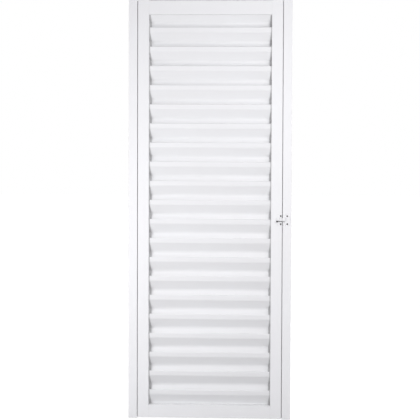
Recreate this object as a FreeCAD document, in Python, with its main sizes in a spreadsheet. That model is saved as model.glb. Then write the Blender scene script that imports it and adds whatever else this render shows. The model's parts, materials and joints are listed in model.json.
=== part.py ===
"""A louvred aluminium door: one leaf of fixed slats, hung on three butt hinges in its own frame.

+X is to the right and -Y is towards someone who faces the side with the latch. The origin is on the
floor, at the middle of the door's width and depth. The leaf swings away from that person, to +Y.
"""

import FreeCAD, Part
import math
import os
import re

import Sketcher

# Driving sizes in millimetres, with counts and shares where the name says so
SIZES = {
    # The frame: two jambs and a head, of one stepped hollow extrusion
    "frame_width": 800,
    "frame_height": 2100,
    "frame_depth": 45,
    "frame_wall": 1.6,
    "jamb_face": 42,
    "head_face": 38,
    "jamb_lip": 13,
    "head_lip": 9,
    "lip_depth": 12,
    # Running gaps round the leaf
    "leaf_gap": 3,
    "bottom_gap": 4,
    "flange_gap": 5,
    # The leaf: hollow stiles and rails with a flange that shuts behind the frame's lip
    "stile_face": 54,
    "top_rail_height": 70,
    "bottom_rail_height": 62,
    "leaf_wall": 1.6,
    "flange_behind_lip": 2,
    "flange_thickness": 3,
    "groove_from_face": 18,
    "groove_width": 9,
    # Sealing strips on the back of the frame's lips
    "seal_width": 8,
    "seal_base": 0.7,
    "seal_lip_width": 3,
    "seal_from_flange": 0.3,
    # Corner cleats and their screws
    "cleat_length": 40,
    "cleat_end_wall": 8,
    "cleat_side_wall": 4,
    "cleat_play": 0.2,
    "corner_screw_from_side": 8,
    "corner_access_radius": 5,
    # Fixed slats, each bent from one sheet: rounded nose, leaning lip, sloping web, leaning foot
    "slat_count": 21,
    "first_slat_hidden": 33,
    "last_slat_shown": 76,
    "slat_overlap": 10,
    "slat_setback": 3,
    "slat_sheet": 1.5,
    "slat_lip": 25,
    "slat_web_drop": 45,
    "slat_reach": 32,
    "slat_lip_lean": 3.5,
    "slat_foot_lean": 6,
    "slat_bend_radius": 24,
    "slat_nose_radius": 3,
    "slat_hem": 6,
    "slat_seat_gap": 0.3,
    # Moulded clip at each end of a slat
    "clip_plate": 3,
    "clip_jaw": 1.2,
    "clip_jaw_at_lip": 5,
    "clip_jaw_at_back": 11,
    "clip_tongue_depth": 4,
    "clip_tongue_height": 12,
    "clip_tongue_play": 0.3,
    # Butt hinges on the back of the hinge jamb and stile
    "hinge_from_end": 220,
    "hinge_height": 80,
    "hinge_plate": 2.5,
    "hinge_frame_width": 27,
    "hinge_door_width": 36,
    "hinge_axis_from_jamb": 2.5,
    "hinge_axis_back": 7,
    "knuckle_radius": 6,
    "knuckle_count": 5,
    "knuckle_gap": 1,
    "knuckle_side_gap": 0.5,
    "hinge_pin_radius": 3,
    "hinge_pin_play": 0.15,
    "hinge_cap_radius": 5,
    "hinge_cap_height": 2.5,
    "washer_play": 0.1,
    "washer_width": 2.2,
    "hinge_screw_pitch": 29,
    "hinge_screw_from_edge": 10,
    # Screws: countersunk for the hinges, round-headed for the corners and for the latch
    "hinge_screw_radius": 2.1,
    "hinge_screw_length": 14,
    "hinge_screw_head_radius": 4,
    "hinge_screw_head_height": 2,
    "corner_screw_radius": 2,
    "corner_screw_length": 22,
    "corner_screw_head_radius": 3.8,
    "corner_screw_head_height": 2.4,
    "latch_screw_radius": 1.7,
    "latch_screw_length": 13,
    "latch_screw_head_radius": 4,
    "latch_screw_head_height": 1.9,
    "screw_hole_play": 0.15,
    "recess_width": 0.9,
    "recess_depth": 1,
    "recess_length_share": 0.6,
    # Holes for fixing the jambs to the wall
    "wall_hole_count": 4,
    "wall_hole_radius": 2.75,
    "wall_access_radius": 6,
    "wall_hole_from_end": 120,
    "wall_hole_from_back": 15,
    # Slide bolt on the lock stile and its keeper on the strike jamb
    "latch_height": 986,
    "latch_plate": 2,
    "latch_plate_height": 53,
    "latch_base_width": 23.5,
    "latch_edge": 1.2,
    "latch_screw_from_end": 6.5,
    "latch_screw_from_edge": 5.5,
    "bolt_rise": 1,
    "bolt_height": 15,
    "bolt_thickness": 5,
    "bolt_nose_proud": 1.2,
    "bolt_throw": 8,
    "bolt_room": 6,
    "bolt_clearance": 0.4,
    "bolt_groove_height": 6,
    "bolt_groove_depth": 1.6,
    "guide_wall": 1.8,
    "guide_width": 10,
    "grip_width": 9,
    "grip_height": 6,
    "grip_below_bolt": 3,
    "grip_proud": 5.6,
    "grip_play": 0.5,
    "grip_rib_count": 3,
    "grip_rib_width": 1,
    "grip_rib_depth": 0.8,
    "strip_height": 2.3,
    "strip_thickness": 1.8,
    "strip_play": 0.3,
    "detent_thickness": 0.6,
    "detent_length": 8,
    "detent_from_edge": 0.5,
    "detent_play": 0.5,
    "keeper_overhang": 2.8,
    "keeper_plate_from_edge": 1,
    "keeper_width": 38,
    "keeper_radius": 40,
    "keeper_screw_from_edge": 21.5,
    "keeper_screw_from_end": 7,
    # How far a cutting tool runs past the face that it opens
    "overrun": 1,
}

# Places and fitting sizes worked out from the driving sizes
FITS = {
    "opening_half": "frame_width / 2 - jamb_face",
    "rebate_half": "opening_half + jamb_lip",
    "leaf_half": "opening_half - leaf_gap",
    "flange_half": "rebate_half - flange_gap",
    "zone_half": "leaf_half - stile_face",
    "head_under": "frame_height - head_face",
    "head_rebate": "head_under + head_lip",
    "leaf_top": "head_under - leaf_gap",
    "flange_top": "head_rebate - flange_gap",
    "top_rail_under": "leaf_top - top_rail_height",
    "bottom_rail_top": "bottom_gap + bottom_rail_height",
    "knuckle_proud": "hinge_axis_back + knuckle_radius",
    "bolt_back": "latch_plate + bolt_clearance",
    "bolt_front": "bolt_back + bolt_thickness",
    "latch_proud": "bolt_front + grip_proud",
    "face": "(latch_proud - knuckle_proud - frame_depth) / 2",
    "back": "face + frame_depth",
    "lip_back": "face + lip_depth",
    "flange_front": "lip_back + flange_behind_lip",
    "flange_back": "flange_front + flange_thickness",
    "groove_front": "face + groove_from_face",
    "groove_back": "groove_front + groove_width",
    "first_nose": "top_rail_under + first_slat_hidden",
    "last_nose": "bottom_rail_top + last_slat_shown",
    "slat_pitch": "(first_nose - last_nose) / (slat_count - 1)",
    "slat_drop": "slat_pitch + slat_overlap",
    "slat_front": "face + slat_setback",
    "slat_knee": "slat_lip + slat_web_drop",
    "lip_lean": "atan(slat_lip_lean / slat_lip)",
    "nose_setback": "slat_nose_radius * (1 / cos(lip_lean) + tan(lip_lean) - 1)",
    "lip_run": "slat_lip_lean - nose_setback",
    "foot_lean": "atan(slat_foot_lean / (slat_drop - slat_knee))",
    "web_reach": "slat_reach - lip_run",
    "web_angle": "atan(web_reach / slat_web_drop)",
    "outer_bend": "slat_bend_radius + slat_sheet",
    "outer_tangent": "outer_bend * tan((web_angle - lip_lean) / 2)",
    "inner_tangent": "slat_bend_radius * tan((web_angle + foot_lean) / 2)",
    "slat_half": "zone_half - clip_plate - slat_seat_gap",
    "tongue_reach": "groove_from_face + groove_width / 2 - slat_setback",
    "tongue_drop": "slat_lip + slat_web_drop * (tongue_reach - lip_run) / web_reach",
    "hinge_axis_half": "rebate_half - hinge_axis_from_jamb",
    "hinge_axis_depth": "back + hinge_axis_back",
    "knuckle_pitch": "hinge_height / knuckle_count",
    "guide_half": "bolt_height / 2 + bolt_clearance + guide_wall",
    "guide_front": "bolt_front + bolt_clearance + guide_wall",
    "bolt_centre": "latch_height + bolt_rise",
    "bolt_under": "bolt_centre - bolt_height / 2",
    "grip_under": "bolt_under - grip_below_bolt",
    "base_edge": "leaf_half - latch_edge",
    "bolt_nose": "base_edge + bolt_nose_proud",
    "guide_edge": "base_edge - guide_width",
    "bolt_tail": "guide_edge - grip_play - bolt_throw - grip_width",
    "keeper_mouth": "opening_half - keeper_overhang",
    "keeper_stop": "bolt_nose + bolt_throw + bolt_room",
    "keeper_edge": "opening_half + keeper_plate_from_edge",
}

HINGE_HEIGHTS = {
    "lower": "hinge_from_end",
    "middle": "frame_height / 2",
    "upper": "frame_height - hinge_from_end",
}
LEFT = "-1"
RIGHT = "1"

# Which way a round side of an outline turns
TO_LEFT = 1
TO_RIGHT = -1

# Turns that point a screw's head, drawn along +Z, another way
HEAD_TO_FRONT = FreeCAD.Rotation(FreeCAD.Vector(1, 0, 0), 90)
HEAD_TO_BACK = FreeCAD.Rotation(FreeCAD.Vector(1, 0, 0), -90)
HEAD_TO_RIGHT = FreeCAD.Rotation(FreeCAD.Vector(0, 1, 0), 90)
HEAD_TO_LEFT = FreeCAD.Rotation(FreeCAD.Vector(0, 1, 0), -90)
ROD_TURNS = {"x": HEAD_TO_RIGHT, "y": HEAD_TO_BACK, "z": FreeCAD.Rotation()}

doc = FreeCAD.newDocument("LouvredDoor")
subparts = []


def bound(text):
    """Names in an expression are looked up in the sheet that holds them."""

    def full_name(match):
        word = match.group(0)
        if word in SIZES:
            return "Sizes." + word
        if word in FITS:
            return "Fits." + word
        return word

    return re.sub(r"[a-z_]+", full_name, str(text))


def make_sheets():
    """One sheet of driving sizes, and one of the places that follow from them."""
    sizes = doc.addObject("Spreadsheet::Sheet", "Sizes")
    for row, (name, number) in enumerate(SIZES.items(), start=1):
        sizes.set(f"A{row}", name.replace("_", " "))
        sizes.set(f"B{row}", str(number))
        sizes.setAlias(f"B{row}", name)
    fits = doc.addObject("Spreadsheet::Sheet", "Fits")
    for row, name in enumerate(FITS, start=1):
        fits.set(f"A{row}", name.replace("_", " "))
        fits.setAlias(f"B{row}", name)
    for row, text in enumerate(FITS.values(), start=1):
        fits.set(f"B{row}", "=" + bound(text))
    doc.recompute()
    return fits


fits_sheet = make_sheets()


def value(text):
    """The number that an expression gives now."""
    return float(fits_sheet.evalExpression(bound(text)))


def bind(piece, **expressions):
    for name, text in expressions.items():
        piece.setExpression(name, bound(text))


def place(piece, across="0", depth="0", height="0"):
    """A piece's place follows the sizes."""
    for axis, text in (("x", across), ("y", depth), ("z", height)):
        piece.setExpression("Placement.Base." + axis, bound(text))


def named(piece, label):
    """A finished sub-part takes its own label and joins the list."""
    piece.Label = label
    subparts.append(piece)
    return piece


def mirrored(side, corners):
    """Corners drawn for the right side, set out on the side asked for."""
    return [(f"{side} * ({across})", depth) for across, depth in corners]


def side_between(start, end, bend):
    """A straight side, or a round one that turns left or right on its way to the end."""
    if bend is None:
        return Part.LineSegment(start, end), 1, 2
    radius_text, turn = bend
    radius = value(radius_text)
    half = (end - start) * 0.5
    inwards = FreeCAD.Vector(0, 0, 1).cross(half).normalize() * turn
    centre = start + half + inwards * math.sqrt(radius**2 - half.Length**2)
    first, last = (start, end) if turn == TO_LEFT else (end, start)
    angles = [math.atan2(point.y - centre.y, point.x - centre.x) for point in (first, last)]
    arc = Part.ArcOfCircle(Part.Circle(centre, FreeCAD.Vector(0, 0, 1), radius), *angles)
    return (arc, 1, 2) if turn == TO_LEFT else (arc, 2, 1)


def draw_loop(sketch, corners):
    """A closed outline bound to the sizes; a corner's third entry bends the side that leaves it."""
    points = [FreeCAD.Vector(value(corner[0]), value(corner[1]), 0) for corner in corners]
    bends = [corner[2] if len(corner) > 2 else None for corner in corners]
    start = sketch.GeometryCount
    ends = points[1:] + points[:1]
    sides = [side_between(*side) for side in zip(points, ends, bends)]
    sketch.addGeometry([side[0] for side in sides], False)
    joins = []
    for spot, (_, _, leaving) in enumerate(sides):
        after = (spot + 1) % len(sides)
        meeting = (start + spot, leaving, start + after, sides[after][1])
        joins.append(Sketcher.Constraint("Coincident", *meeting))
    sketch.addConstraint(joins)
    for spot, corner in enumerate(corners, start=start):
        entering = sides[spot - start][1]
        for kind, text in zip(("DistanceX", "DistanceY"), corner):
            distance = Sketcher.Constraint(kind, -1, 1, spot, entering, value(text))
            bind_constraint(sketch, distance, spot, text)
        if bends[spot - start]:
            radius = bends[spot - start][0]
            bind_constraint(sketch, Sketcher.Constraint("Radius", spot, value(radius)), spot, radius)


def bind_constraint(sketch, constraint, spot, text):
    """A constraint that follows an expression, under a name of its own."""
    name = f"{constraint.Type}{spot}"
    sketch.renameConstraint(sketch.addConstraint(constraint), name)
    sketch.setExpression("Constraints." + name, bound(text))


def extrusion(name, role, loops, length, both_ways=False):
    """A body padded from closed outlines drawn on one of its own origin planes."""
    body = doc.addObject("PartDesign::Body", name)
    plane = next(item for item in body.Origin.OriginFeatures if item.Role == role)
    sketch = body.newObject("Sketcher::SketchObject", name + "_outline")
    sketch.AttachmentSupport = [(plane, "")]
    sketch.MapMode = "FlatFace"
    for corners in loops:
        draw_loop(sketch, corners)
    pad = body.newObject("PartDesign::Pad", name + "_pad")
    pad.Profile = sketch
    bind(pad, Length=length)
    if both_ways:
        pad.SideType = "Symmetric"
    body.Tip = pad
    return body


def box(name, across, depth, height):
    """A block between pairs of bounds on each axis."""
    block = doc.addObject("Part::Box", name)
    for size, (low, high) in zip(("Length", "Width", "Height"), (across, depth, height)):
        block.setExpression(size, bound(f"({high}) - ({low})"))
    place(block, across[0], depth[0], height[0])
    return block


def rod(name, radius, length, axis, across, depth, height):
    """A round bar that runs the given way from its starting point."""
    bar = doc.addObject("Part::Cylinder", name)
    bar.Placement = FreeCAD.Placement(FreeCAD.Vector(), ROD_TURNS[axis])
    bind(bar, Radius=radius, Height=length)
    place(bar, across, depth, height)
    return bar


def joined(name, pieces):
    whole = doc.addObject("Part::MultiFuse", name)
    whole.Shapes = pieces
    return whole


def cut(name, base, tools):
    """A piece with several tools taken out of it."""
    cutter = doc.addObject("Part::Compound", name + "_cutter")
    cutter.Links = tools
    piece = doc.addObject("Part::Cut", name)
    piece.Base = base
    piece.Tool = cutter
    return piece


def copies(label, shapes):
    """Identical separate pieces that share one sub-part."""
    group = doc.addObject("Part::Feature", label)
    group.Shape = Part.Compound(shapes)
    group.Placement = FreeCAD.Placement()
    return named(group, label)


def moved(shape, turn, across, depth, height):
    """A copy of a shape, turned and set down at a point given in sizes."""
    spot = FreeCAD.Vector(value(across), value(depth), value(height))
    copy = shape.copy()
    copy.Placement = FreeCAD.Placement(spot, turn)
    return copy


def rectangle(low_across, high_across, low_up, high_up):
    return [
        (low_across, low_up),
        (high_across, low_up),
        (high_across, high_up),
        (low_across, high_up),
    ]


def wall_hole_heights():
    span = "(frame_height - 2 * wall_hole_from_end)"
    count = int(value("wall_hole_count"))
    return [f"wall_hole_from_end + {number} * {span} / (wall_hole_count - 1)" for number in range(count)]


def hinge_screw_heights():
    heights = []
    for centre in HINGE_HEIGHTS.values():
        heights += [f"({centre}) + {step} * hinge_screw_pitch" for step in (-1, 0, 1)]
    return heights


HINGE_SCREW_HOLE = "hinge_screw_radius + screw_hole_play"
CORNER_SCREW_HOLE = "corner_screw_radius + screw_hole_play"
LATCH_SCREW_HOLE = "latch_screw_radius + screw_hole_play"
FRAME_SCREW_ACROSS = "-(hinge_axis_half + hinge_frame_width - hinge_screw_from_edge)"
DOOR_SCREW_ACROSS = "-(hinge_axis_half - hinge_door_width + hinge_screw_from_edge)"
FRAME_CORNER_HEIGHT = "(head_rebate + frame_height) / 2"
FRAME_CORNER_DEPTHS = ("lip_back + corner_screw_from_side", "back - corner_screw_from_side")
LEAF_CORNER_HEIGHTS = ("(bottom_gap + bottom_rail_top) / 2", "(top_rail_under + leaf_top) / 2")
LEAF_CORNER_DEPTHS = ("face + corner_screw_from_side", "back - corner_screw_from_side")
LATCH_SCREW_ACROSS = "base_edge - latch_screw_from_edge"
LATCH_SCREW_HEIGHTS = (
    "latch_height - latch_plate_height / 2 + latch_screw_from_end",
    "latch_height + latch_plate_height / 2 - latch_screw_from_end",
)
KEEPER_SCREW_ACROSS = "keeper_edge + keeper_screw_from_edge"
KEEPER_SCREW_HEIGHTS = (
    "latch_height - latch_plate_height / 2 + keeper_screw_from_end",
    "latch_height + latch_plate_height / 2 - keeper_screw_from_end",
)


def holes_through_wall(name, radius, wall, axis, spots):
    """Drills that pass one wall, from just outside it to just inside."""
    drills = []
    for number, (across, depth, height) in enumerate(spots):
        start = [across, depth, height]
        start["xyz".index(axis)] += " - overrun"
        drills.append(rod(f"{name}_{number}", radius, f"{wall} + 2 * overrun", axis, *start))
    return drills


def jamb(label, side, more_drills):
    """An upright of the frame: a hollow box with a hollow lip in front of the leaf's flange."""
    outside = [
        ("frame_width / 2", "face"),
        ("opening_half", "face"),
        ("opening_half", "lip_back"),
        ("rebate_half", "lip_back"),
        ("rebate_half", "back"),
        ("frame_width / 2", "back"),
    ]
    chamber = rectangle(
        "rebate_half + frame_wall", "frame_width / 2 - frame_wall", "face + frame_wall", "back - frame_wall"
    )
    lip_chamber = rectangle(
        "opening_half + frame_wall", "rebate_half", "face + frame_wall", "lip_back - frame_wall"
    )
    loops = [mirrored(side, corners) for corners in (outside, chamber, lip_chamber)]
    upright = extrusion(label + "_extrusion", "XY_Plane", loops, "frame_height")
    outer_wall = {LEFT: "-frame_width / 2", RIGHT: "frame_width / 2 - frame_wall"}[side]
    inner_wall = {LEFT: "-rebate_half - frame_wall", RIGHT: "rebate_half"}[side]
    fixings = [("back - wall_hole_from_back", height) for height in wall_hole_heights()]
    corner = [(depth, FRAME_CORNER_HEIGHT) for depth in FRAME_CORNER_DEPTHS]
    drills = list(more_drills)
    for hole, radius, wall, spots in (
        ("fixing", "wall_hole_radius", outer_wall, fixings),
        ("fixing_access", "wall_access_radius", inner_wall, fixings),
        ("corner", CORNER_SCREW_HOLE, inner_wall, corner),
        ("corner_access", "corner_access_radius", outer_wall, corner),
    ):
        places = [(wall, depth, height) for depth, height in spots]
        drills += holes_through_wall(f"{label}_{hole}", radius, "frame_wall", "x", places)
    return named(cut(label, upright, drills), label)


def frame_head():
    """The head sits between the jambs, and its lip stops where theirs begin."""
    outside = [
        ("face", "frame_height"),
        ("face", "head_under"),
        ("lip_back", "head_under"),
        ("lip_back", "head_rebate"),
        ("back", "head_rebate"),
        ("back", "frame_height"),
    ]
    chamber = rectangle(
        "face + frame_wall", "back - frame_wall", "head_rebate + frame_wall", "frame_height - frame_wall"
    )
    lip_chamber = rectangle(
        "face + frame_wall", "lip_back - frame_wall", "head_under + frame_wall", "head_rebate"
    )
    loops = [outside, chamber, lip_chamber]
    bar = extrusion("frame_head_extrusion", "YZ_Plane", loops, "2 * rebate_half", both_ways=True)
    notches = []
    for side in (LEFT, RIGHT):
        across = ("opening_half", "rebate_half + overrun")
        if side == LEFT:
            across = ("-rebate_half - overrun", "-opening_half")
        depth = ("face - overrun", "lip_back")
        height = ("head_under - overrun", "frame_height + overrun")
        notches.append(box(f"frame_head_notch{side}", across, depth, height))
    return named(cut("frame_head", bar, notches), "frame_head")


def stile(label, side, more_drills):
    """An upright of the leaf: a hollow box with a groove for the slat clips and an outer flange."""
    outside = [
        ("leaf_half", "face"),
        ("zone_half", "face"),
        ("zone_half", "groove_front"),
        ("zone_half + leaf_wall", "groove_front"),
        ("zone_half + leaf_wall", "face + leaf_wall"),
        ("leaf_half - leaf_wall", "face + leaf_wall"),
        ("leaf_half - leaf_wall", "back - leaf_wall"),
        ("zone_half + leaf_wall", "back - leaf_wall"),
        ("zone_half + leaf_wall", "groove_back"),
        ("zone_half", "groove_back"),
        ("zone_half", "back"),
        ("leaf_half", "back"),
        ("leaf_half", "flange_back"),
        ("flange_half", "flange_back"),
        ("flange_half", "flange_front"),
        ("leaf_half", "flange_front"),
    ]
    upright = extrusion(
        label + "_extrusion", "XY_Plane", [mirrored(side, outside)], "leaf_top - bottom_gap"
    )
    place(upright, height="bottom_gap")
    inner_wall = {LEFT: "-zone_half - leaf_wall", RIGHT: "zone_half"}[side]
    outer_wall = {LEFT: "-leaf_half", RIGHT: "leaf_half - leaf_wall"}[side]
    corners = [(depth, height) for depth in LEAF_CORNER_DEPTHS for height in LEAF_CORNER_HEIGHTS]
    drills = list(more_drills)
    for hole, radius, wall in (
        ("corner", CORNER_SCREW_HOLE, inner_wall),
        ("corner_access", "corner_access_radius", outer_wall),
    ):
        places = [(wall, depth, height) for depth, height in corners]
        drills += holes_through_wall(f"{label}_{hole}", radius, "leaf_wall", "x", places)
    return named(cut(label, upright, drills), label)


def rails():
    """The top rail carries the flange on along its upper side; the bottom rail is a plain box."""
    top_outside = [
        ("face", "top_rail_under"),
        ("back", "top_rail_under"),
        ("back", "leaf_top"),
        ("flange_back", "leaf_top"),
        ("flange_back", "flange_top"),
        ("flange_front", "flange_top"),
        ("flange_front", "leaf_top"),
        ("face", "leaf_top"),
    ]
    top_inside = rectangle(
        "face + leaf_wall", "back - leaf_wall", "top_rail_under + leaf_wall", "leaf_top - leaf_wall"
    )
    bottom_outside = rectangle("face", "back", "bottom_gap", "bottom_rail_top")
    bottom_inside = rectangle(
        "face + leaf_wall", "back - leaf_wall", "bottom_gap + leaf_wall", "bottom_rail_top - leaf_wall"
    )
    for label, loops in (
        ("top_rail", [top_outside, top_inside]),
        ("bottom_rail", [bottom_outside, bottom_inside]),
    ):
        bar = extrusion(label + "_extrusion", "YZ_Plane", loops, "2 * zone_half", both_ways=True)
        named(bar, label)


def seals():
    """Rubber strips on the back of the frame's lips, which the leaf's flange shuts against."""
    middle = "jamb_lip / 2"
    for label, side in (("hinge_jamb_seal", LEFT), ("strike_jamb_seal", RIGHT)):
        corners = mirrored(side, seal_outline("opening_half + " + middle, "lip_back"))
        named(extrusion(label, "XY_Plane", [corners], "head_under"), label)
    corners = [(depth, height) for height, depth in seal_outline("head_under + head_lip / 2", "lip_back")]
    strip = extrusion("head_seal", "YZ_Plane", [corners], "2 * opening_half", both_ways=True)
    named(strip, "head_seal")


def seal_outline(centre, seat):
    """A flat strip with one raised lip along its middle."""
    crest = f"{seat} + flange_behind_lip - seal_from_flange"
    return [
        (f"{centre} - seal_width / 2", seat),
        (f"{centre} + seal_width / 2", seat),
        (f"{centre} + seal_width / 2", f"{seat} + seal_base"),
        (f"{centre} + seal_lip_width / 2", f"{seat} + seal_base"),
        (f"{centre} + seal_lip_width / 2", crest),
        (f"{centre} - seal_lip_width / 2", crest),
        (f"{centre} - seal_lip_width / 2", f"{seat} + seal_base"),
        (f"{centre} - seal_width / 2", f"{seat} + seal_base"),
    ]


def cleat(name, side, end, depth, height, screw_spots):
    """A cup-shaped block in the end of a rail, closed towards the upright that is screwed to it."""
    near = f"({end}) - cleat_length"
    full = box(name + "_block", (near, end), depth, height)
    inner_depth = (f"{depth[0]} + cleat_side_wall", f"{depth[1]} - cleat_side_wall")
    inner_height = (f"{height[0]} + cleat_side_wall", f"{height[1]} - cleat_side_wall")
    inside = (f"{near} - overrun", f"{end} - cleat_end_wall")
    hollow = box(name + "_hollow", inside, inner_depth, inner_height)
    tools = [hollow]
    for number, (spot_depth, spot_height) in enumerate(screw_spots):
        drill_start = f"{end} - cleat_length"
        drill = rod(
            f"{name}_pilot_{number}", CORNER_SCREW_HOLE, "cleat_length + overrun", "x",
            drill_start, spot_depth, spot_height,
        )
        tools.append(drill)
    right = cut(name, full, tools)
    if side == RIGHT:
        return right
    flipped = doc.addObject("Part::Mirroring", name + "_flipped")
    flipped.Source = right
    flipped.Normal = (1, 0, 0)
    return flipped


def cleats():
    """Corner blocks of the frame and of the leaf, gathered once their shapes are known."""
    frame_depth = ("lip_back + frame_wall + cleat_play", "back - frame_wall - cleat_play")
    frame_height = ("head_rebate + frame_wall + cleat_play", "frame_height - frame_wall - cleat_play")
    frame_spots = [(depth, FRAME_CORNER_HEIGHT) for depth in FRAME_CORNER_DEPTHS]
    frame_blocks = [
        cleat(f"frame_cleat{side}", side, "rebate_half", frame_depth, frame_height, frame_spots)
        for side in (LEFT, RIGHT)
    ]
    leaf_depth = ("face + leaf_wall + cleat_play", "back - leaf_wall - cleat_play")
    leaf_blocks = []
    bounds = (("bottom_gap", "bottom_rail_top"), ("top_rail_under", "leaf_top"))
    for number, (low, high) in enumerate(bounds):
        height = (f"{low} + leaf_wall + cleat_play", f"{high} - leaf_wall - cleat_play")
        spots = [(depth, LEAF_CORNER_HEIGHTS[number]) for depth in LEAF_CORNER_DEPTHS]
        for side in (LEFT, RIGHT):
            name = f"leaf_cleat_{number}{side}"
            leaf_blocks.append(cleat(name, side, "zone_half", leaf_depth, height, spots))
    return frame_blocks, leaf_blocks


def slat_zone():
    """The clear height between the rails, which trims the first and the last slat."""
    half = ("-zone_half - clip_tongue_depth", "zone_half + clip_tongue_depth")
    height = ("bottom_rail_top + slat_seat_gap", "top_rail_under - slat_seat_gap")
    return box("slat_zone", half, ("face", "back"), height)


def bent_line(offset, top=None):
    """The corners of a line that follows the slat, some way behind its front, from a top or its nose."""
    lip = f"slat_front + lip_run + ({offset}) * cos(lip_lean)"
    web = f"slat_front + ({offset}) * cos(web_angle)"
    foot = f"slat_front + slat_reach + ({offset}) * cos(foot_lean)"
    web_rise = f"({offset}) * sin(web_angle)"
    if top is None:
        top = f"-slat_nose_radius - (slat_nose_radius - ({offset})) * sin(lip_lean)"
    return [
        (f"slat_front + lip_run + ({offset}) / cos(lip_lean) - (slat_lip + {top}) * tan(lip_lean)", top),
        (
            f"{lip} - outer_tangent * sin(lip_lean)",
            f"-slat_lip + outer_tangent * cos(lip_lean) + ({offset}) * sin(lip_lean)",
        ),
        (
            f"{web} + lip_run + outer_tangent * sin(web_angle)",
            f"-slat_lip - outer_tangent * cos(web_angle) + {web_rise}",
        ),
        (
            f"{web} + slat_reach - inner_tangent * sin(web_angle)",
            f"-slat_knee + inner_tangent * cos(web_angle) + {web_rise}",
        ),
        (
            f"{foot} - inner_tangent * sin(foot_lean)",
            f"-slat_knee - inner_tangent * cos(foot_lean) - ({offset}) * sin(foot_lean)",
        ),
        (f"slat_front + slat_reach - slat_foot_lean + ({offset}) / cos(foot_lean)", "-slat_drop"),
    ]


def ribbon(front, rear, top=None):
    """A strip that follows the slat's bends, between two distances behind the slat's front."""
    down = bent_line(front, top)
    down[1] += ((f"outer_bend - ({front})", TO_LEFT),)
    down[3] += ((f"slat_bend_radius + ({front})", TO_RIGHT),)
    up = bent_line(rear, top)[::-1]
    up[1] += ((f"slat_bend_radius + ({rear})", TO_LEFT),)
    up[3] += ((f"outer_bend - ({rear})", TO_RIGHT),)
    return down + up


def nose_height(number):
    return f"first_nose - {number} * slat_pitch"


def crosses_rail(number):
    """Whether a slat would reach past the clear height between the rails."""
    over = value(nose_height(number)) > value("top_rail_under")
    under = value(f"{nose_height(number)} - slat_drop") < value("bottom_rail_top")
    return over or under


def slats(zone):
    """Slats from the top down; one that would run into a rail is trimmed beside it."""
    corners = ribbon("0", "slat_sheet")
    corners[-1] += (("slat_nose_radius - slat_sheet", TO_RIGHT),)
    corners += [
        ("slat_front + slat_nose_radius", "-slat_sheet"),
        ("slat_front + slat_hem", "-slat_sheet"),
        ("slat_front + slat_hem", "0"),
        ("slat_front + slat_nose_radius", "0", ("slat_nose_radius", TO_LEFT)),
    ]
    for number in range(int(value("slat_count"))):
        label = f"slat_{number + 1:02d}"
        strip = extrusion(label + "_strip", "YZ_Plane", [corners], "2 * slat_half", both_ways=True)
        place(strip, height=nose_height(number))
        if crosses_rail(number):
            trimmed = doc.addObject("Part::Common", label + "_trimmed")
            trimmed.Base = strip
            trimmed.Tool = zone
            strip = trimmed
        named(strip, label)


def slat_clip():
    """The left clip of a slat whose nose is at height 0: plate, tongue and two jaws."""
    front = "-(clip_jaw + slat_seat_gap)"
    rear = "slat_sheet + slat_seat_gap + clip_jaw"
    plate = extrusion("clip_plate_body", "YZ_Plane", [ribbon(front, rear, "0")], "clip_plate")
    jaws = []
    for name, near, far, top in (
        ("front_jaw", front, "-slat_seat_gap", "0"),
        ("rear_jaw", "slat_sheet + slat_seat_gap", rear, "-slat_nose_radius - slat_seat_gap"),
    ):
        strip = extrusion("clip_" + name, "YZ_Plane", [ribbon(near, far, top)], "clip_jaw_at_back")
        jaws.append(strip)
    for piece in (plate, *jaws):
        place(piece, across="-zone_half")
    relief_outline = [
        ("clip_jaw_at_lip", "overrun"),
        ("clip_jaw_at_lip", "-slat_lip"),
        ("clip_jaw_at_back", "-slat_knee"),
        ("clip_jaw_at_back + overrun", "-slat_knee"),
        ("clip_jaw_at_back + overrun", "overrun"),
    ]
    relief = extrusion("clip_relief", "XZ_Plane", [relief_outline], "frame_depth * 2", both_ways=True)
    place(relief, across="-zone_half")
    jaws_cut = cut("clip_jaws", joined("clip_jaw_pair", jaws), [relief])
    tongue = box(
        "clip_tongue",
        ("-zone_half - clip_tongue_depth", "-zone_half"),
        ("groove_front + clip_tongue_play", "groove_back - clip_tongue_play"),
        ("-tongue_drop - clip_tongue_height / 2", "-tongue_drop + clip_tongue_height / 2"),
    )
    left = joined("slat_clip_left", [plate, jaws_cut, tongue])
    right = doc.addObject("Part::Mirroring", "slat_clip_right")
    right.Source = left
    right.Normal = (1, 0, 0)
    return left, right


def screw(name, radius, length, head_radius, head_height, countersunk=False):
    """A cross-recess screw whose seat is at height 0, with its head towards +Z."""
    shank_length = f"{length} - {head_height}" if countersunk else length
    shank = rod(name + "_shank", radius, shank_length, "z", "0", "0", f"-({length})")
    top = "0" if countersunk else head_height
    head = doc.addObject("Part::Cone", name + "_head")
    under = radius if countersunk else head_radius
    crown = head_radius if countersunk else f"{head_radius} * recess_length_share"
    bind(head, Radius1=under, Radius2=crown, Height=head_height)
    place(head, height="-" + head_height if countersunk else "0")
    arms = []
    reach = f"{head_radius} * recess_length_share"
    half = "recess_width / 2"
    depth = (f"{top} - recess_depth", f"{top} + overrun")
    arms.append(box(name + "_slot_across", (f"-{reach}", reach), ("-" + half, half), depth))
    arms.append(box(name + "_slot_along", ("-" + half, half), (f"-{reach}", reach), depth))
    return cut(name, joined(name + "_blank", [shank, head]), arms)


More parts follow.
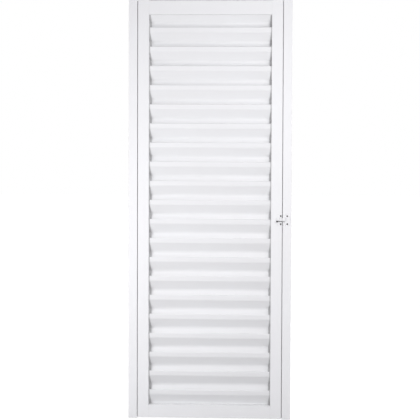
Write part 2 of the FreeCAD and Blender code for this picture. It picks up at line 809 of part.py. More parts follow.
def hinge(name, centre):
    """One butt hinge: a leaf on the frame, a leaf on the door, and the pin through their knuckles."""
    low = f"({centre}) - hinge_height / 2"
    high = f"({centre}) + hinge_height / 2"
    depth = ("back", "back + hinge_plate")
    leaves = (
        ("frame", ("-hinge_axis_half - hinge_frame_width", "-hinge_axis_half"), FRAME_SCREW_ACROSS, 1),
        ("door", ("-hinge_axis_half", "-hinge_axis_half + hinge_door_width"), DOOR_SCREW_ACROSS, 0),
    )
    for part, across, screw_across, cut_first in leaves:
        label = f"{name}_hinge_{part}_leaf"
        plate = box(label + "_plate", across, depth, (low, high))
        barrel = rod(
            label + "_barrel", "knuckle_radius", "hinge_height", "z",
            "-hinge_axis_half", "hinge_axis_depth", low,
        )
        tools = [
            rod(
                label + "_bore", "hinge_pin_radius + hinge_pin_play", "hinge_height + 2 * overrun", "z",
                "-hinge_axis_half", "hinge_axis_depth", f"{low} - overrun",
            )
        ]
        for number in range(int(value("knuckle_count"))):
            if number % 2 != cut_first:
                continue
            first = f"{low} + {number} * knuckle_pitch"
            last = f"{first} + knuckle_pitch + knuckle_gap / 2"
            side = "knuckle_radius + knuckle_side_gap"
            tools.append(
                box(
                    f"{label}_gap_{number}",
                    (f"-hinge_axis_half - ({side})", f"-hinge_axis_half + {side}"),
                    ("back - overrun", "hinge_axis_depth + knuckle_radius + overrun"),
                    (f"{first} - knuckle_gap / 2", last),
                )
            )
        for step in (-1, 0, 1):
            height = f"({centre}) + {step} * hinge_screw_pitch"
            hole = f"{label}_hole_{step}"
            tools.append(
                rod(
                    hole, HINGE_SCREW_HOLE, "hinge_plate + 2 * overrun", "y",
                    screw_across, "back - overrun", height,
                )
            )
            sink = doc.addObject("Part::Cone", hole + "_sink")
            sink.Placement = FreeCAD.Placement(FreeCAD.Vector(), HEAD_TO_BACK)
            bind(
                sink,
                Radius1=HINGE_SCREW_HOLE,
                Radius2="hinge_screw_head_radius + screw_hole_play",
                Height="hinge_screw_head_height",
            )
            place(sink, screw_across, "back + hinge_plate - hinge_screw_head_height", height)
            tools.append(sink)
        named(cut(label, joined(label + "_blank", [plate, barrel]), tools), label)
    label = name + "_hinge_pin"
    shaft = rod(
        label + "_shaft", "hinge_pin_radius", "hinge_height", "z",
        "-hinge_axis_half", "hinge_axis_depth", low,
    )
    caps = []
    for end, start in (("foot", f"{low} - hinge_cap_height"), ("crown", high)):
        caps.append(
            rod(
                f"{label}_{end}", "hinge_cap_radius", "hinge_cap_height", "z",
                "-hinge_axis_half", "hinge_axis_depth", start,
            )
        )
    named(joined(label, [shaft, *caps]), label)


def washer():
    """A thin ring that keeps two knuckles apart."""
    outer = "hinge_pin_radius + washer_play + washer_width"
    thickness = "knuckle_gap - 2 * washer_play"
    ring = rod("washer_ring", outer, thickness, "z", "0", "0", f"-({thickness}) / 2")
    inner = "hinge_pin_radius + washer_play"
    bore = rod("washer_bore", inner, "2 * knuckle_gap", "z", "0", "0", "-knuckle_gap")
    return cut("washer", ring, [bore])


def latch_base():
    """Plate and guide of the slide bolt, on the face of the lock stile."""
    across = ("base_edge - latch_base_width", "base_edge")
    plate_height = ("latch_height - latch_plate_height / 2", "latch_height + latch_plate_height / 2")
    plate = box("latch_base_plate", across, ("face - latch_plate", "face"), plate_height)
    guide = box(
        "latch_guide",
        ("guide_edge", "base_edge"),
        ("face - guide_front", "face"),
        ("bolt_centre - guide_half", "bolt_centre + guide_half"),
    )
    tunnel = bolt_tunnel("latch_guide_tunnel", ("guide_edge - overrun", "base_edge + overrun"))
    slot = strip_slot("latch_guide_slot", ("guide_edge - overrun", "base_edge + overrun"))
    drills = holes_through_wall(
        "latch_base_hole", LATCH_SCREW_HOLE, "latch_plate", "y",
        [(LATCH_SCREW_ACROSS, "face - latch_plate", height) for height in LATCH_SCREW_HEIGHTS],
    )
    body = joined("latch_base_blank", [plate, guide])
    return named(cut("latch_base", body, [tunnel, slot, *drills]), "latch_base")


def bolt_tunnel(name, across):
    """The way that the bolt slides through, with its clearance all round."""
    room = "bolt_height / 2 + bolt_clearance"
    return box(
        name,
        across,
        ("face - bolt_front - bolt_clearance", "face - latch_plate"),
        (f"bolt_centre - ({room})", f"bolt_centre + {room}"),
    )


def strip_slot(name, across):
    """The slot in the front of a guide or housing, in which the strip of the bolt slides."""
    return box(
        name,
        across,
        ("face - guide_front - overrun", "face - bolt_front"),
        ("bolt_under - bolt_clearance", "bolt_under + strip_height + strip_play"),
    )


def latch_bolt():
    """A flat bar, drawn back, with a groove behind for its detent spring, its strip and its ribbed grip."""
    height = ("bolt_centre - bolt_height / 2", "bolt_centre + bolt_height / 2")
    across = ("bolt_tail", "bolt_nose")
    bar = box("latch_bar", across, ("face - bolt_front", "face - bolt_back"), height)
    groove = box(
        "latch_bar_groove",
        ("bolt_tail - overrun", "bolt_nose + overrun"),
        ("face - bolt_back - bolt_groove_depth", "face - bolt_back + overrun"),
        ("bolt_centre - bolt_groove_height / 2", "bolt_centre + bolt_groove_height / 2"),
    )
    named(cut("latch_bolt", bar, [groove]), "latch_bolt")
    grip = box(
        "latch_grip_block",
        ("bolt_tail", "bolt_tail + grip_width"),
        ("face - latch_proud", "face - bolt_front"),
        ("grip_under", "grip_under + grip_height"),
    )
    ribs = []
    for number in range(int(value("grip_rib_count"))):
        middle = f"bolt_tail + grip_width * {number + 1} / (grip_rib_count + 1)"
        ribs.append(
            box(
                f"latch_grip_rib_{number}",
                (f"{middle} - grip_rib_width / 2", f"{middle} + grip_rib_width / 2"),
                ("face - latch_proud - overrun", "face - latch_proud + grip_rib_depth"),
                ("grip_under - overrun", "grip_under + grip_height + overrun"),
            )
        )
    named(cut("latch_thumb_grip", grip, ribs), "latch_thumb_grip")
    strip = box(
        "latch_bolt_strip",
        ("bolt_tail + grip_width", "bolt_nose"),
        ("face - bolt_front - strip_thickness", "face - bolt_front"),
        ("bolt_under", "bolt_under + strip_height"),
    )
    named(strip, "latch_bolt_strip")


def detent_spring():
    """A short strip on the base plate that lies in the groove of the bolt."""
    strip = box(
        "latch_detent_spring",
        ("base_edge - detent_from_edge - detent_length", "base_edge - detent_from_edge"),
        ("face - latch_plate - detent_thickness", "face - latch_plate"),
        (
            "bolt_centre - bolt_groove_height / 2 + detent_play",
            "bolt_centre + bolt_groove_height / 2 - detent_play",
        ),
    )
    named(strip, "latch_detent_spring")


def latch_keeper():
    """A round-backed plate on the strike jamb, with the housing that takes the bolt."""
    plate_height = ("latch_height - latch_plate_height / 2", "latch_height + latch_plate_height / 2")
    depth = ("face - latch_plate", "face")
    slab = box("keeper_slab", ("keeper_edge", "keeper_edge + keeper_width"), depth, plate_height)
    disc = rod(
        "keeper_disc", "keeper_radius", "latch_plate", "y",
        "keeper_edge + keeper_width - keeper_radius", "face - latch_plate", "latch_height",
    )
    plate = doc.addObject("Part::Common", "keeper_plate")
    plate.Base = slab
    plate.Tool = disc
    housing = box(
        "keeper_housing",
        ("keeper_mouth", "keeper_stop + guide_wall"),
        ("face - guide_front", "face - bolt_clearance"),
        ("bolt_centre - guide_half", "bolt_centre + guide_half"),
    )
    tunnel = bolt_tunnel("keeper_tunnel", ("keeper_mouth - overrun", "keeper_stop"))
    slot = strip_slot("keeper_slot", ("keeper_mouth - overrun", "keeper_stop"))
    undercut = box(
        "keeper_undercut",
        ("keeper_mouth - overrun", "keeper_edge"),
        ("face - latch_plate - overrun", "face + overrun"),
        ("bolt_centre - guide_half - overrun", "bolt_centre + guide_half + overrun"),
    )
    drills = holes_through_wall(
        "keeper_hole", LATCH_SCREW_HOLE, "latch_plate", "y",
        [(KEEPER_SCREW_ACROSS, "face - latch_plate", height) for height in KEEPER_SCREW_HEIGHTS],
    )
    body = joined("latch_keeper_blank", [plate, housing])
    return named(cut("latch_keeper", body, [tunnel, slot, undercut, *drills]), "latch_keeper")


def clip_copies(label, master, zone):
    """One clip per slat, trimmed beside a rail as its slat is."""
    shapes = []
    for number in range(int(value("slat_count"))):
        clip = moved(master.Shape, FreeCAD.Rotation(), "0", "0", nose_height(number))
        if crosses_rail(number):
            clip = clip.common(zone.Shape)
        shapes.extend(clip.Solids)
    copies(label, shapes)


def screw_groups(hinge_screw, corner_screw, latch_screw):
    """Every set of identical screws, set down where its holes are."""
    for label, across in (
        ("hinge_frame_screws", FRAME_SCREW_ACROSS),
        ("hinge_door_screws", DOOR_SCREW_ACROSS),
    ):
        shapes = [
            moved(hinge_screw.Shape, HEAD_TO_BACK, across, "back + hinge_plate", height)
            for height in hinge_screw_heights()
        ]
        copies(label, shapes)
    frame_shapes = []
    for depth in FRAME_CORNER_DEPTHS:
        right = ("rebate_half + frame_wall", depth, FRAME_CORNER_HEIGHT)
        left = ("-rebate_half - frame_wall", depth, FRAME_CORNER_HEIGHT)
        frame_shapes.append(moved(corner_screw.Shape, HEAD_TO_RIGHT, *right))
        frame_shapes.append(moved(corner_screw.Shape, HEAD_TO_LEFT, *left))
    copies("frame_corner_screws", frame_shapes)
    leaf_shapes = []
    for depth in LEAF_CORNER_DEPTHS:
        for height in LEAF_CORNER_HEIGHTS:
            right = ("zone_half + leaf_wall", depth, height)
            left = ("-zone_half - leaf_wall", depth, height)
            leaf_shapes.append(moved(corner_screw.Shape, HEAD_TO_RIGHT, *right))
            leaf_shapes.append(moved(corner_screw.Shape, HEAD_TO_LEFT, *left))
    copies("leaf_corner_screws", leaf_shapes)
    for label, across, heights in (
        ("latch_base_screws", LATCH_SCREW_ACROSS, LATCH_SCREW_HEIGHTS),
        ("latch_keeper_screws", KEEPER_SCREW_ACROSS, KEEPER_SCREW_HEIGHTS),
    ):
        shapes = [
            moved(latch_screw.Shape, HEAD_TO_FRONT, across, "face - latch_plate", height)
            for height in heights
        ]
        copies(label, shapes)


def washer_group(master):
    """A washer between each two knuckles of every hinge."""
    shapes = []
    for centre in HINGE_HEIGHTS.values():
        for number in range(1, int(value("knuckle_count"))):
            height = f"({centre}) - hinge_height / 2 + {number} * knuckle_pitch"
            spot = ("-hinge_axis_half", "hinge_axis_depth", height)
            shapes.append(moved(master.Shape, FreeCAD.Rotation(), *spot))
    copies("hinge_washers", shapes)


def recompute_and_test():
    """Every object has to be whole before anything is written."""
    doc.recompute()
    for item in doc.Objects:
        if "Invalid" in item.State or "Error" in item.State:
            raise RuntimeError(f"{item.Label} failed: {item.State}")


def write_subparts():
    os.makedirs("parts", exist_ok=True)
    for item in subparts:
        if item.Shape.isNull() or not item.Shape.isValid() or not item.Shape.Solids:
            raise RuntimeError(f"{item.Label} has no valid solid")
    for item in subparts:
        item.Shape.exportStep(f"parts/{item.Label}.step")
    print(len(subparts), "sub-parts written")


def main():
    frame_hinge_holes = holes_through_wall(
        "frame_hinge_hole", HINGE_SCREW_HOLE, "frame_wall", "y",
        [(FRAME_SCREW_ACROSS, "back - frame_wall", height) for height in hinge_screw_heights()],
    )
    keeper_holes = holes_through_wall(
        "keeper_jamb_hole", LATCH_SCREW_HOLE, "frame_wall", "y",
        [(KEEPER_SCREW_ACROSS, "face", height) for height in KEEPER_SCREW_HEIGHTS],
    )
    door_hinge_holes = holes_through_wall(
        "door_hinge_hole", HINGE_SCREW_HOLE, "leaf_wall", "y",
        [(DOOR_SCREW_ACROSS, "back - leaf_wall", height) for height in hinge_screw_heights()],
    )
    latch_holes = holes_through_wall(
        "latch_stile_hole", LATCH_SCREW_HOLE, "leaf_wall", "y",
        [(LATCH_SCREW_ACROSS, "face", height) for height in LATCH_SCREW_HEIGHTS],
    )
    jamb("hinge_jamb", LEFT, frame_hinge_holes)
    jamb("strike_jamb", RIGHT, keeper_holes)
    frame_head()
    seals()
    stile("hinge_stile", LEFT, door_hinge_holes)
    stile("lock_stile", RIGHT, latch_holes)
    rails()
    frame_blocks, leaf_blocks = cleats()
    zone = slat_zone()
    slats(zone)
    left_clip, right_clip = slat_clip()
    for name, centre in HINGE_HEIGHTS.items():
        hinge(name, centre)
    washer_master = washer()
    latch_base()
    latch_bolt()
    detent_spring()
    latch_keeper()
    hinge_screw = screw(
        "hinge_screw", "hinge_screw_radius", "hinge_screw_length",
        "hinge_screw_head_radius", "hinge_screw_head_height", countersunk=True,
    )
    corner_screw = screw(
        "corner_screw", "corner_screw_radius", "corner_screw_length",
        "corner_screw_head_radius", "corner_screw_head_height",
    )
    latch_screw = screw(
        "latch_screw", "latch_screw_radius", "latch_screw_length",
        "latch_screw_head_radius", "latch_screw_head_height",
    )
    recompute_and_test()
    copies("frame_corner_cleats", [block.Shape for block in frame_blocks])
    copies("leaf_corner_cleats", [block.Shape for block in leaf_blocks])
    clip_copies("left_slat_clips", left_clip, zone)
    clip_copies("right_slat_clips", right_clip, zone)
    screw_groups(hinge_screw, corner_screw, latch_screw)
    washer_group(washer_master)
    recompute_and_test()
    write_subparts()


main()
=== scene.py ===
"""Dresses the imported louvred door: camera, light, floor, and a finish for every piece."""

import json
import math

import bpy
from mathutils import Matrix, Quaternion, Vector


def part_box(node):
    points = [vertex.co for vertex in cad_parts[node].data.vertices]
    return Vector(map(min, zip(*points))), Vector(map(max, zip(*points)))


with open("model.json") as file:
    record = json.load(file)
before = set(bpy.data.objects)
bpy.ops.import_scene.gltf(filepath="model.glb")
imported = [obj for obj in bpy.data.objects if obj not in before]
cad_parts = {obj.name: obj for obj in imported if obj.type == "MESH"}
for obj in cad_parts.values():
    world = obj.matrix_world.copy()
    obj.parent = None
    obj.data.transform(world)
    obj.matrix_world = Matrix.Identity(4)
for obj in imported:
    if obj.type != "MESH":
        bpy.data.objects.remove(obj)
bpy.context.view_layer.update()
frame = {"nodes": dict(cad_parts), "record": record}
nodes = frame["nodes"]

# The photograph's view: metres, then degrees, the lens in millimetres, and shares of the picture's width
FACE_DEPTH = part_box("lock_stile")[0].y
VIEW_DISTANCE = 5.5
VIEW_HEIGHT = 1.304
VIEW_ACROSS = 0.3
VIEW_LIMIT = 100
VIEW_LEFT = 2.19
VIEW_DOWN = 1.98
VIEW_ROLL = 0.235
VIEW_LENS = 96.2
VIEW_SHIFT = (-0.043, -0.0386)


def make_camera():
    """The camera stands right of the door's middle, and is turned a little left and down."""
    camera_data = bpy.data.cameras.new("camera")
    camera = bpy.data.objects.new("camera", camera_data)
    bpy.context.scene.collection.objects.link(camera)
    camera.location = (VIEW_ACROSS, FACE_DEPTH - VIEW_DISTANCE, VIEW_HEIGHT)
    left = math.radians(VIEW_LEFT)
    down = math.radians(VIEW_DOWN)
    ahead = Vector((-math.sin(left) * math.cos(down), math.cos(left) * math.cos(down), -math.sin(down)))
    camera.rotation_mode = "QUATERNION"
    roll = Quaternion((0, 0, 1), math.radians(VIEW_ROLL))
    camera.rotation_quaternion = ahead.to_track_quat("-Z", "Y") @ roll
    camera_data.lens = VIEW_LENS
    camera_data.shift_x, camera_data.shift_y = VIEW_SHIFT
    camera_data.clip_end = VIEW_LIMIT
    bpy.context.scene.camera = camera


class Shader:
    """A small helper that adds and links shader nodes of one material."""

    def __init__(self, name):
        self.material = bpy.data.materials.new(name)
        self.material.use_nodes = True
        self.tree = self.material.node_tree
        self.tree.nodes.clear()
        self.output = self.add("ShaderNodeOutputMaterial")

    def add(self, kind, inputs=None, **settings):
        node = self.tree.nodes.new(kind)
        for key, setting in settings.items():
            setattr(node, key, setting)
        for key, given in (inputs or {}).items():
            if hasattr(given, "is_linked"):
                self.tree.links.new(given, node.inputs[key])
            else:
                node.inputs[key].default_value = given
        return node

    def place(self):
        return self.add("ShaderNodeTexCoord").outputs["Object"]

    def noise(self, coordinates, scale, detail):
        node = self.add("ShaderNodeTexNoise", {"Vector": coordinates, "Scale": scale, "Detail": detail})
        return node.outputs["Fac"]

    def stretched(self, coordinates, factors):
        node = self.add("ShaderNodeVectorMath", {0: coordinates, 1: factors}, operation="MULTIPLY")
        return node.outputs["Vector"]

    def ranged(self, value, given, wanted):
        """The value, moved from the given range to the wanted one and kept inside it."""
        inputs = {"From Min": given[0], "From Max": given[1], "To Min": wanted[0], "To Max": wanted[1]}
        return self.add("ShaderNodeMapRange", {"Value": value, **inputs}).outputs["Result"]

    def mixed(self, fac, first, second):
        node = self.add("ShaderNodeMix", {"Factor": fac}, data_type="RGBA")
        for key, given in (("A", first), ("B", second)):
            socket = next(s for s in node.inputs if s.name == key and s.type == "RGBA")
            if hasattr(given, "is_linked"):
                self.tree.links.new(given, socket)
            else:
                socket.default_value = given
        return next(s for s in node.outputs if s.type == "RGBA")

    def bump(self, height, depth, strength, normal=None):
        inputs = {"Height": height, "Distance": depth, "Strength": strength}
        if normal is not None:
            inputs["Normal"] = normal
        return self.add("ShaderNodeBump", inputs).outputs["Normal"]

    def finish(self, inputs):
        surface = self.add("ShaderNodeBsdfPrincipled", inputs)
        self.tree.links.new(surface.outputs["BSDF"], self.output.inputs["Surface"])
        return self.material


def grey(level, cool=0.0):
    """A neutral colour. Where it is cool, red loses that share and green a third of it."""
    return (level * (1 - cool), level * (1 - cool / 3), level, 1.0)


WHITE = grey(1.0)


def shaded(level, shares):
    """A colour that keeps the given shares of a level in red, green and blue."""
    return (*(level * share for share in shares), 1.0)


def around(value, spread):
    return (value + spread[0], value + spread[1])


# The values that a noise takes nearly everywhere, a whole share, and the scale where a stretch sets it
NOISE_RANGE = (0.3, 0.7)
WHOLE = (0.0, 1.0)
STRETCHED = 1.0

# Enamel. A scale is how often a pattern repeats in a metre, a depth is in metres, and the rest are shares.
PATCH_SCALE = 3.0
PATCH_RANGE = (0.35, 0.7)
PATCH_COOL = 0.012
PATCH_SHADE = 0.98
PATCH_SHADE_COOL = 0.004
SPECK_SCALE = 900.0
SPECK_RANGE = (0.68, 0.8)
SPECK_SHARE = 0.12
SPECK_SHADE = 0.6
GLOSS_SCALE = 22.0
GLOSS_SPREAD = (-0.05, 0.07)
SPECULAR_LEVEL = 0.45
PEEL_SCALE = 1100.0
PEEL_DEPTH = 0.00004
DRAW_DEPTH = 0.00006
DRAW_STRENGTH = 0.35
WAVE_SCALE = 6.0
WAVE_DEPTH = 0.0016
WAVE_STRENGTH = 0.25

# Painted shade in corners, darkest where ambient occlusion finds them closed in: its reach in metres, how
# open a spot is where it ends, its most and its shades
CORNER_REACH = 0.007
CORNER_OPENNESS = 0.75
CORNER_SHADE_MOST = 0.42
CORNER_SHADE_SHARES = (0.22, 0.21, 0.2)


def painted(name, level, gloss, peel, draw=None):
    """White enamel: orange peel, faint patches and specks, uneven gloss, and painted shade in its corners.
    """
    shader = Shader(name)
    place = shader.place()
    patches = shader.ranged(shader.noise(place, PATCH_SCALE, detail=4.0), PATCH_RANGE, WHOLE)
    colour = shader.mixed(patches, grey(level, PATCH_COOL), grey(level * PATCH_SHADE, PATCH_SHADE_COOL))
    specks = shader.ranged(shader.noise(place, SPECK_SCALE, detail=2.0), SPECK_RANGE, (0.0, SPECK_SHARE))
    colour = shader.mixed(specks, colour, grey(level * SPECK_SHADE))
    # Painted shade: the colour darkens in corners and crevices by ambient occlusion, where shade falls.
    openness = shader.add("ShaderNodeAmbientOcclusion", {"Distance": CORNER_REACH}, samples=6)
    corner_shade = shader.ranged(openness.outputs["AO"], (0.0, CORNER_OPENNESS), (CORNER_SHADE_MOST, 0.0))
    colour = shader.mixed(corner_shade, colour, shaded(level, CORNER_SHADE_SHARES))
    uneven = shader.noise(place, GLOSS_SCALE, detail=5.0)
    uneven = shader.ranged(uneven, NOISE_RANGE, around(gloss, GLOSS_SPREAD))
    normal = shader.bump(shader.noise(place, PEEL_SCALE, detail=1.0), PEEL_DEPTH, peel)
    if draw:
        lines = shader.noise(shader.stretched(place, draw), STRETCHED, detail=3.0)
        normal = shader.bump(lines, DRAW_DEPTH, DRAW_STRENGTH, normal)
    normal = shader.bump(shader.noise(place, WAVE_SCALE, detail=1.0), WAVE_DEPTH, WAVE_STRENGTH, normal)
    return shader.finish(
        {"Base Color": colour, "Roughness": uneven, "Normal": normal, "Specular IOR Level": SPECULAR_LEVEL}
    )


# Nylon and rubber, in the same units
CLOUD_SCALE = 60.0
CLOUD_SHADE = 0.8
MATT_SCALE = 150.0
MATT_SPREAD = (-0.06, 0.08)
GRAIN_SCALE = 1500.0
GRAIN_DEPTH = 0.00006
GRAIN_STRENGTH = 0.5


def plastic(name, level, gloss):
    """Moulded nylon or rubber: fine matt grain and cloudy tone."""
    shader = Shader(name)
    place = shader.place()
    cloud = shader.ranged(shader.noise(place, CLOUD_SCALE, detail=4.0), NOISE_RANGE, WHOLE)
    colour = shader.mixed(cloud, grey(level), grey(level * CLOUD_SHADE))
    uneven = shader.noise(place, MATT_SCALE, detail=3.0)
    uneven = shader.ranged(uneven, NOISE_RANGE, around(gloss, MATT_SPREAD))
    normal = shader.bump(shader.noise(place, GRAIN_SCALE, detail=2.0), GRAIN_DEPTH, GRAIN_STRENGTH)
    return shader.finish({"Base Color": colour, "Roughness": uneven, "Normal": normal})


# Bare metal, in the same units. Its scratches lie level.
SPOT_SCALE = 260.0
SPOT_RANGE = (0.52, 0.68)
TARNISH_SHADES = (0.45, 0.4, 0.34)
SCRATCH_SCALES = (300, 300, 3000)
SCRATCH_SPREAD = (-0.07, 0.12)
SCRATCH_DEPTH = 0.00003
SCRATCH_STRENGTH = 0.5


def metal(name, level, gloss, tarnish, warm=0.0):
    """Bare metal: fine scratches, and dull spots of tarnish. Where it is warm, blue loses that share and
    green half of it."""
    shader = Shader(name)
    place = shader.place()
    spots = shader.ranged(shader.noise(place, SPOT_SCALE, detail=5.0), SPOT_RANGE, (0.0, tarnish))
    bright = shaded(level, (1, 1 - warm / 2, 1 - warm))
    colour = shader.mixed(spots, bright, shaded(level, TARNISH_SHADES))
    scratches = shader.noise(shader.stretched(place, SCRATCH_SCALES), STRETCHED, detail=2.0)
    uneven = shader.ranged(scratches, NOISE_RANGE, around(gloss, SCRATCH_SPREAD))
    normal = shader.bump(scratches, SCRATCH_DEPTH, SCRATCH_STRENGTH)
    return shader.finish({"Base Color": colour, "Metallic": 1.0, "Roughness": uneven, "Normal": normal})


# Draw lines of a profile or slat: how often they repeat in a metre along x, y and z
DRAWN_UPRIGHT = (900, 900, 3)
DRAWN_ACROSS = (3, 900, 900)


def make_finishes():
    """One finish per material slot of the record."""
    return {
        "frame_paint": painted("frame_paint", level=0.87, gloss=0.4, peel=0.25, draw=DRAWN_UPRIGHT),
        "leaf_paint": painted("leaf_paint", level=0.87, gloss=0.4, peel=0.25, draw=DRAWN_UPRIGHT),
        # The slats' enamel is a shade darker than the frame's: painted shade for the louvre lying in less
        # light.
        "slat_paint": painted("slat_paint", level=0.85, gloss=0.42, peel=0.2, draw=DRAWN_ACROSS),
        "latch_paint": painted("latch_paint", level=0.86, gloss=0.3, peel=0.35),
        "hinge_paint": painted("hinge_paint", level=0.84, gloss=0.36, peel=0.35),
        "seal_rubber": plastic("seal_rubber", level=0.03, gloss=0.75),
        "clip_nylon": plastic("clip_nylon", level=0.62, gloss=0.6),
        "hinge_nylon": plastic("hinge_nylon", level=0.7, gloss=0.5),
        "cast_cleat": metal("cast_cleat", level=0.62, gloss=0.45, tarnish=0.3),
        "zinc_steel": metal("zinc_steel", level=0.62, gloss=0.3, tarnish=0.5, warm=0.04),
        "dark_steel": metal("dark_steel", level=0.07, gloss=0.5, tarnish=0.8, warm=0.08),
        "pin_steel": metal("pin_steel", level=0.56, gloss=0.28, tarnish=0.4),
        "spring_steel": metal("spring_steel", level=0.5, gloss=0.3, tarnish=0.3),
    }


# Width of the rounding on each kind of piece, in metres
ROUNDINGS = {
    "frame_paint": 0.0006,
    "leaf_paint": 0.0006,
    "slat_paint": 0.0007,
    "latch_paint": 0.0007,
    "hinge_paint": 0.0004,
    "seal_rubber": 0.0003,
    "clip_nylon": 0.0003,
    "hinge_nylon": 0.0001,
    "cast_cleat": 0.0004,
    "dark_steel": 0.0003,
    "pin_steel": 0.0004,
    "spring_steel": 0.0001,
}

# The shortest edge that is rounded, in metres, on pieces whose drilled holes stay sharp
SHORTEST_ROUNDED = {"frame_paint": 0.0026, "leaf_paint": 0.0026, "latch_paint": 0.0006}

# Corners this near each other are one, before the rounding and after it, in metres
WELD_REACH = 0.00001
CLOSING_REACH = 0.000003

# Faces that turn less than the first are one flat face, and edges that turn more than the second are rounded
FLAT_ANGLE = math.radians(0.5)
SHARP_ANGLE = math.radians(28)

# The name under which the rounding looks for an edge's weight
EDGE_WEIGHT = "bevel_weight_edge"


def make_edge_picker(shortest):
    """A node group that gives long sharp edges the weight that the rounding asks for."""
    group = bpy.data.node_groups.new("edge_picker", "GeometryNodeTree")
    link = group.links.new
    for way in ("INPUT", "OUTPUT"):
        group.interface.new_socket("Geometry", in_out=way, socket_type="NodeSocketGeometry")

    def math_node(kind, operation, first, second):
        node = group.nodes.new(kind)
        node.operation = operation
        for socket, given in zip(node.inputs, (first, second)):
            if hasattr(given, "is_linked"):
                link(given, socket)
            else:
                socket.default_value = given
        return node.outputs["Value"]

    ends = group.nodes.new("GeometryNodeInputMeshEdgeVertices").outputs
    angle = group.nodes.new("GeometryNodeInputMeshEdgeAngle").outputs["Unsigned Angle"]
    length = math_node("ShaderNodeVectorMath", "DISTANCE", ends["Position 1"], ends["Position 2"])
    sharp = math_node("ShaderNodeMath", "GREATER_THAN", angle, SHARP_ANGLE)
    long = math_node("ShaderNodeMath", "GREATER_THAN", length, shortest)
    weight = group.nodes.new("GeometryNodeStoreNamedAttribute")
    weight.data_type = "FLOAT"
    weight.domain = "EDGE"
    weight.inputs["Name"].default_value = EDGE_WEIGHT
    link(math_node("ShaderNodeMath", "MULTIPLY", sharp, long), weight.inputs["Value"])
    link(group.nodes.new("NodeGroupInput").outputs["Geometry"], weight.inputs["Geometry"])
    link(weight.outputs["Geometry"], group.nodes.new("NodeGroupOutput").inputs["Geometry"])
    return group


def flatten(piece):
    """Joins the triangles of each flat face, so that the rounding meets no thin ones."""
    weld = piece.modifiers.new("weld", "WELD")
    weld.merge_threshold = WELD_REACH
    flat = piece.modifiers.new("flat", "DECIMATE")
    flat.decimate_type = "DISSOLVE"
    flat.angle_limit = FLAT_ANGLE


def round_edges(piece, width, picker):
    """Rounds the sharp edges, or only those that the picker gives weight."""
    if picker:
        picked = piece.modifiers.new("picked", "NODES")
        picked.node_group = picker
    rounding = piece.modifiers.new("rounding", "BEVEL")
    rounding.width = width
    rounding.segments = 2
    rounding.loop_slide = False
    rounding.miter_outer = "MITER_ARC"
    rounding.limit_method = "WEIGHT" if picker else "ANGLE"
    rounding.angle_limit = SHARP_ANGLE
    rounding.harden_normals = True
    closing = piece.modifiers.new("closing", "WELD")
    closing.merge_threshold = CLOSING_REACH


def dress(finishes):
    """Every piece takes its slot's finish and gets its edges rounded, apart from the screws."""
    pickers = {slot: make_edge_picker(shortest) for slot, shortest in SHORTEST_ROUNDED.items()}
    for entry in frame["record"]["subparts"]:
        piece = nodes[entry["node"]]
        slot = entry["material_slot"]
        piece.data.materials.clear()
        piece.data.materials.append(finishes[slot])
        flatten(piece)
        if not entry["node"].endswith("screws"):
            round_edges(piece, ROUNDINGS[slot], pickers.get(slot))


# The floor: half its width in metres, its own tone, and how much of a white glow the camera sees in it
FLOOR_REACH = 30.0
FLOOR_LEVEL = 0.56
GLOW_SHARE = 0.7
GLOW_STRENGTH = 1.36


def make_floor():
    """A plain white floor that keeps the object's shadow."""
    mesh = bpy.data.meshes.new("floor")
    turns = ((-1, -1), (1, -1), (1, 1), (-1, 1))
    corners = [(across * FLOOR_REACH, back * FLOOR_REACH, 0) for across, back in turns]
    mesh.from_pydata(corners, [], [(0, 1, 2, 3)])
    floor = bpy.data.objects.new("floor", mesh)
    bpy.context.scene.collection.objects.link(floor)
    shader = Shader("floor_white")
    seen = shader.add("ShaderNodeLightPath").outputs["Is Camera Ray"]
    share = shader.add("ShaderNodeMath", {0: seen, 1: GLOW_SHARE}, operation="MULTIPLY").outputs[0]
    matt = shader.add("ShaderNodeBsdfDiffuse", {"Color": grey(FLOOR_LEVEL)})
    glow = shader.add("ShaderNodeEmission", {"Color": WHITE, "Strength": GLOW_STRENGTH})
    mix = shader.add("ShaderNodeMixShader", {0: share, 1: matt.outputs[0], 2: glow.outputs[0]})
    shader.tree.links.new(mix.outputs[0], shader.output.inputs["Surface"])
    mesh.materials.append(shader.material)


ROOM_STRENGTH = 0.53
ROOM_TINT = (0.965, 0.955, 1.0, 1.0)


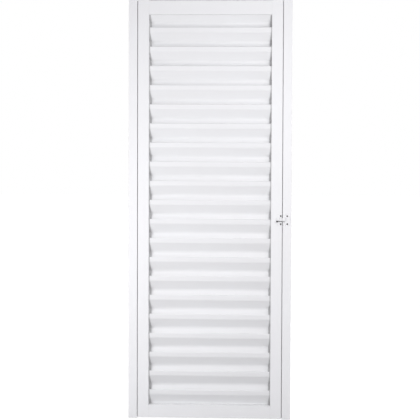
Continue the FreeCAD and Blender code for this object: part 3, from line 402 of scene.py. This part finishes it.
def make_world():
    """Plain room light, and white where the camera sees past the floor."""
    world = bpy.data.worlds.new("studio")
    bpy.context.scene.world = world
    world.use_nodes = True
    tree = world.node_tree
    tree.nodes.clear()
    seen = tree.nodes.new("ShaderNodeLightPath")
    room = tree.nodes.new("ShaderNodeBackground")
    room.inputs["Color"].default_value = ROOM_TINT
    room.inputs["Strength"].default_value = ROOM_STRENGTH
    white = tree.nodes.new("ShaderNodeBackground")
    white.inputs["Color"].default_value = WHITE
    mix = tree.nodes.new("ShaderNodeMixShader")
    tree.links.new(seen.outputs["Is Camera Ray"], mix.inputs[0])
    tree.links.new(room.outputs[0], mix.inputs[1])
    tree.links.new(white.outputs[0], mix.inputs[2])
    output = tree.nodes.new("ShaderNodeOutputWorld")
    tree.links.new(mix.outputs[0], output.inputs["Surface"])


LAMP_TINT = (0.991, 0.984, 1.0)

# Each lamp's place and the point that it faces, the width of its disk, all in metres, and its watts
LAMPS = {
    "right_lamp": {"place": (0.8, -2.6, 1.6), "aim": (0, 0, 1.3), "width": 1.3, "watts": 14.5},
    "high_right_lamp": {"place": (1.1, -1.8, 1.8), "aim": (0, 0, 1.4), "width": 0.8, "watts": 10.5},
    "left_lamp": {"place": (-1.1, -1.7, 1.1), "aim": (0, 0, 1.1), "width": 0.8, "watts": 10.8},
    "low_left_lamp": {"place": (-0.95, -1.1, 0.5), "aim": (-0.2, 0, 0.7), "width": 0.5, "watts": 2.1},
    "back_lamp": {"place": (1.2, 3.4, 2.4), "aim": (0, 0, 1.0), "width": 2.0, "watts": 60},
}


def make_lamp(name, place, aim, width, watts):
    data = bpy.data.lights.new(name, "AREA")
    data.shape = "DISK"
    data.size = width
    data.energy = watts
    data.color = LAMP_TINT
    lamp = bpy.data.objects.new(name, data)
    bpy.context.scene.collection.objects.link(lamp)
    lamp.location = place
    lamp.rotation_mode = "QUATERNION"
    lamp.rotation_quaternion = (Vector(aim) - Vector(place)).to_track_quat("-Z", "Y")


def main():
    bpy.context.scene.view_settings.view_transform = "Standard"
    make_camera()
    make_floor()
    make_world()
    for name, lamp in LAMPS.items():
        make_lamp(name, **lamp)
    dress(make_finishes())


main()
